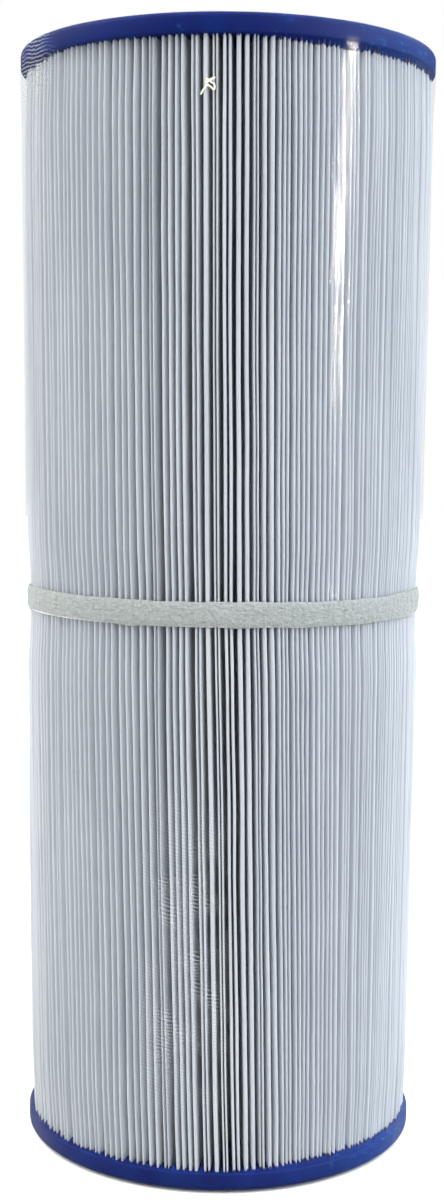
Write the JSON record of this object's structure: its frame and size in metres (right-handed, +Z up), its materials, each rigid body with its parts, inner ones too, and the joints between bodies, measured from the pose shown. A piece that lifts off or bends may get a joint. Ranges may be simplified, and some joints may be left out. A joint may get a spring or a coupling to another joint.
{
  "type": "pleated filter cartridge",
  "caption": "Cylindrical pleated fabric filter cartridge with blue moulded end caps, an open core, a ribbon round its middle and a clear shrink film.",
  "frame": {"origin": "centre of the bottom cap's sealing land, on the axis of the cartridge", "axes": "+Z up the axis to the top cap; -Y is the front, beside the media's side seam; the ribbon's lap is at the back, towards +Y"},
  "size_m": [0.1259, 0.1258, 0.3381],
  "materials": {
    "cap_urethane": "semi-rigid cast urethane, deep blue, slightly mottled and scuffed",
    "media_fabric": "white spunbonded polyester sheet, pleated",
    "hot_melt": "cloudy hot-melt adhesive",
    "thread": "cream-yellow polyester thread",
    "core_plastic": "white injection-moulded plastic",
    "ribbon": "milky fibrous ribbon set in adhesive",
    "clear_film": "clear glossy shrink film"
  },
  "bodies": {
    "root": {"bottom_end_cap": "cap_urethane", "top_end_cap": "cap_urethane", "pleated_media": "media_fabric", "seam_bead": "hot_melt", "seam_thread": "thread", "core_lower": "core_plastic", "core_upper": "core_plastic", "band_adhesive": "hot_melt", "retention_band": "ribbon", "shrink_film": "clear_film"}
  },
  "joints": []
}
